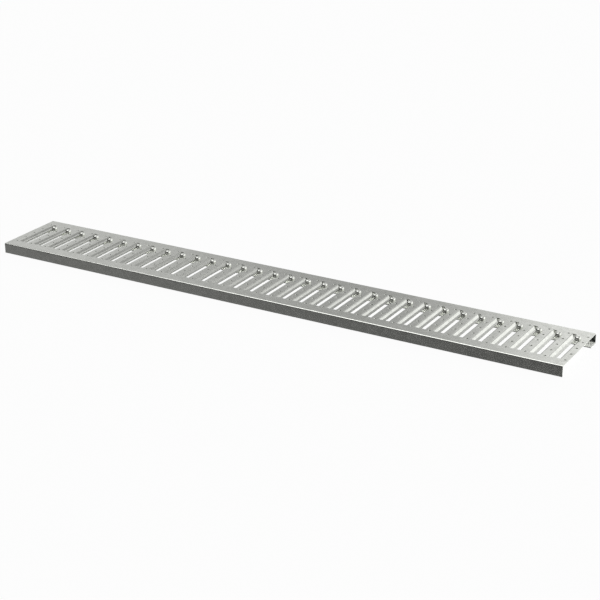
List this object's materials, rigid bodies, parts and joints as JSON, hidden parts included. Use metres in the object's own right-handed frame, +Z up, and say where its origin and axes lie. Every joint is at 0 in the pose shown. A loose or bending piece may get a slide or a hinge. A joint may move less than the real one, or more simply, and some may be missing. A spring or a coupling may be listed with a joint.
{
  "type": "channel drain grate",
  "caption": "Long slotted drain grate of folded galvanised sheet: flat top, sides turned down, a lip under the rear side, paired slots with folded flaps and a raised stud behind each pair.",
  "frame": {"origin": "middle of the length and width, on the plane that the lower edges rest on", "axes": "+X along the length of the channel, +Y across it towards the side with the studs and the lip, +Z up out of the walked-on top"},
  "size_m": [1, 0.1292, 0.0214],
  "materials": {
    "galvanised_sheet": "hot-dip galvanised, satin"
  },
  "bodies": {
    "root": {"slotted_grate": "galvanised_sheet"}
  },
  "joints": []
}
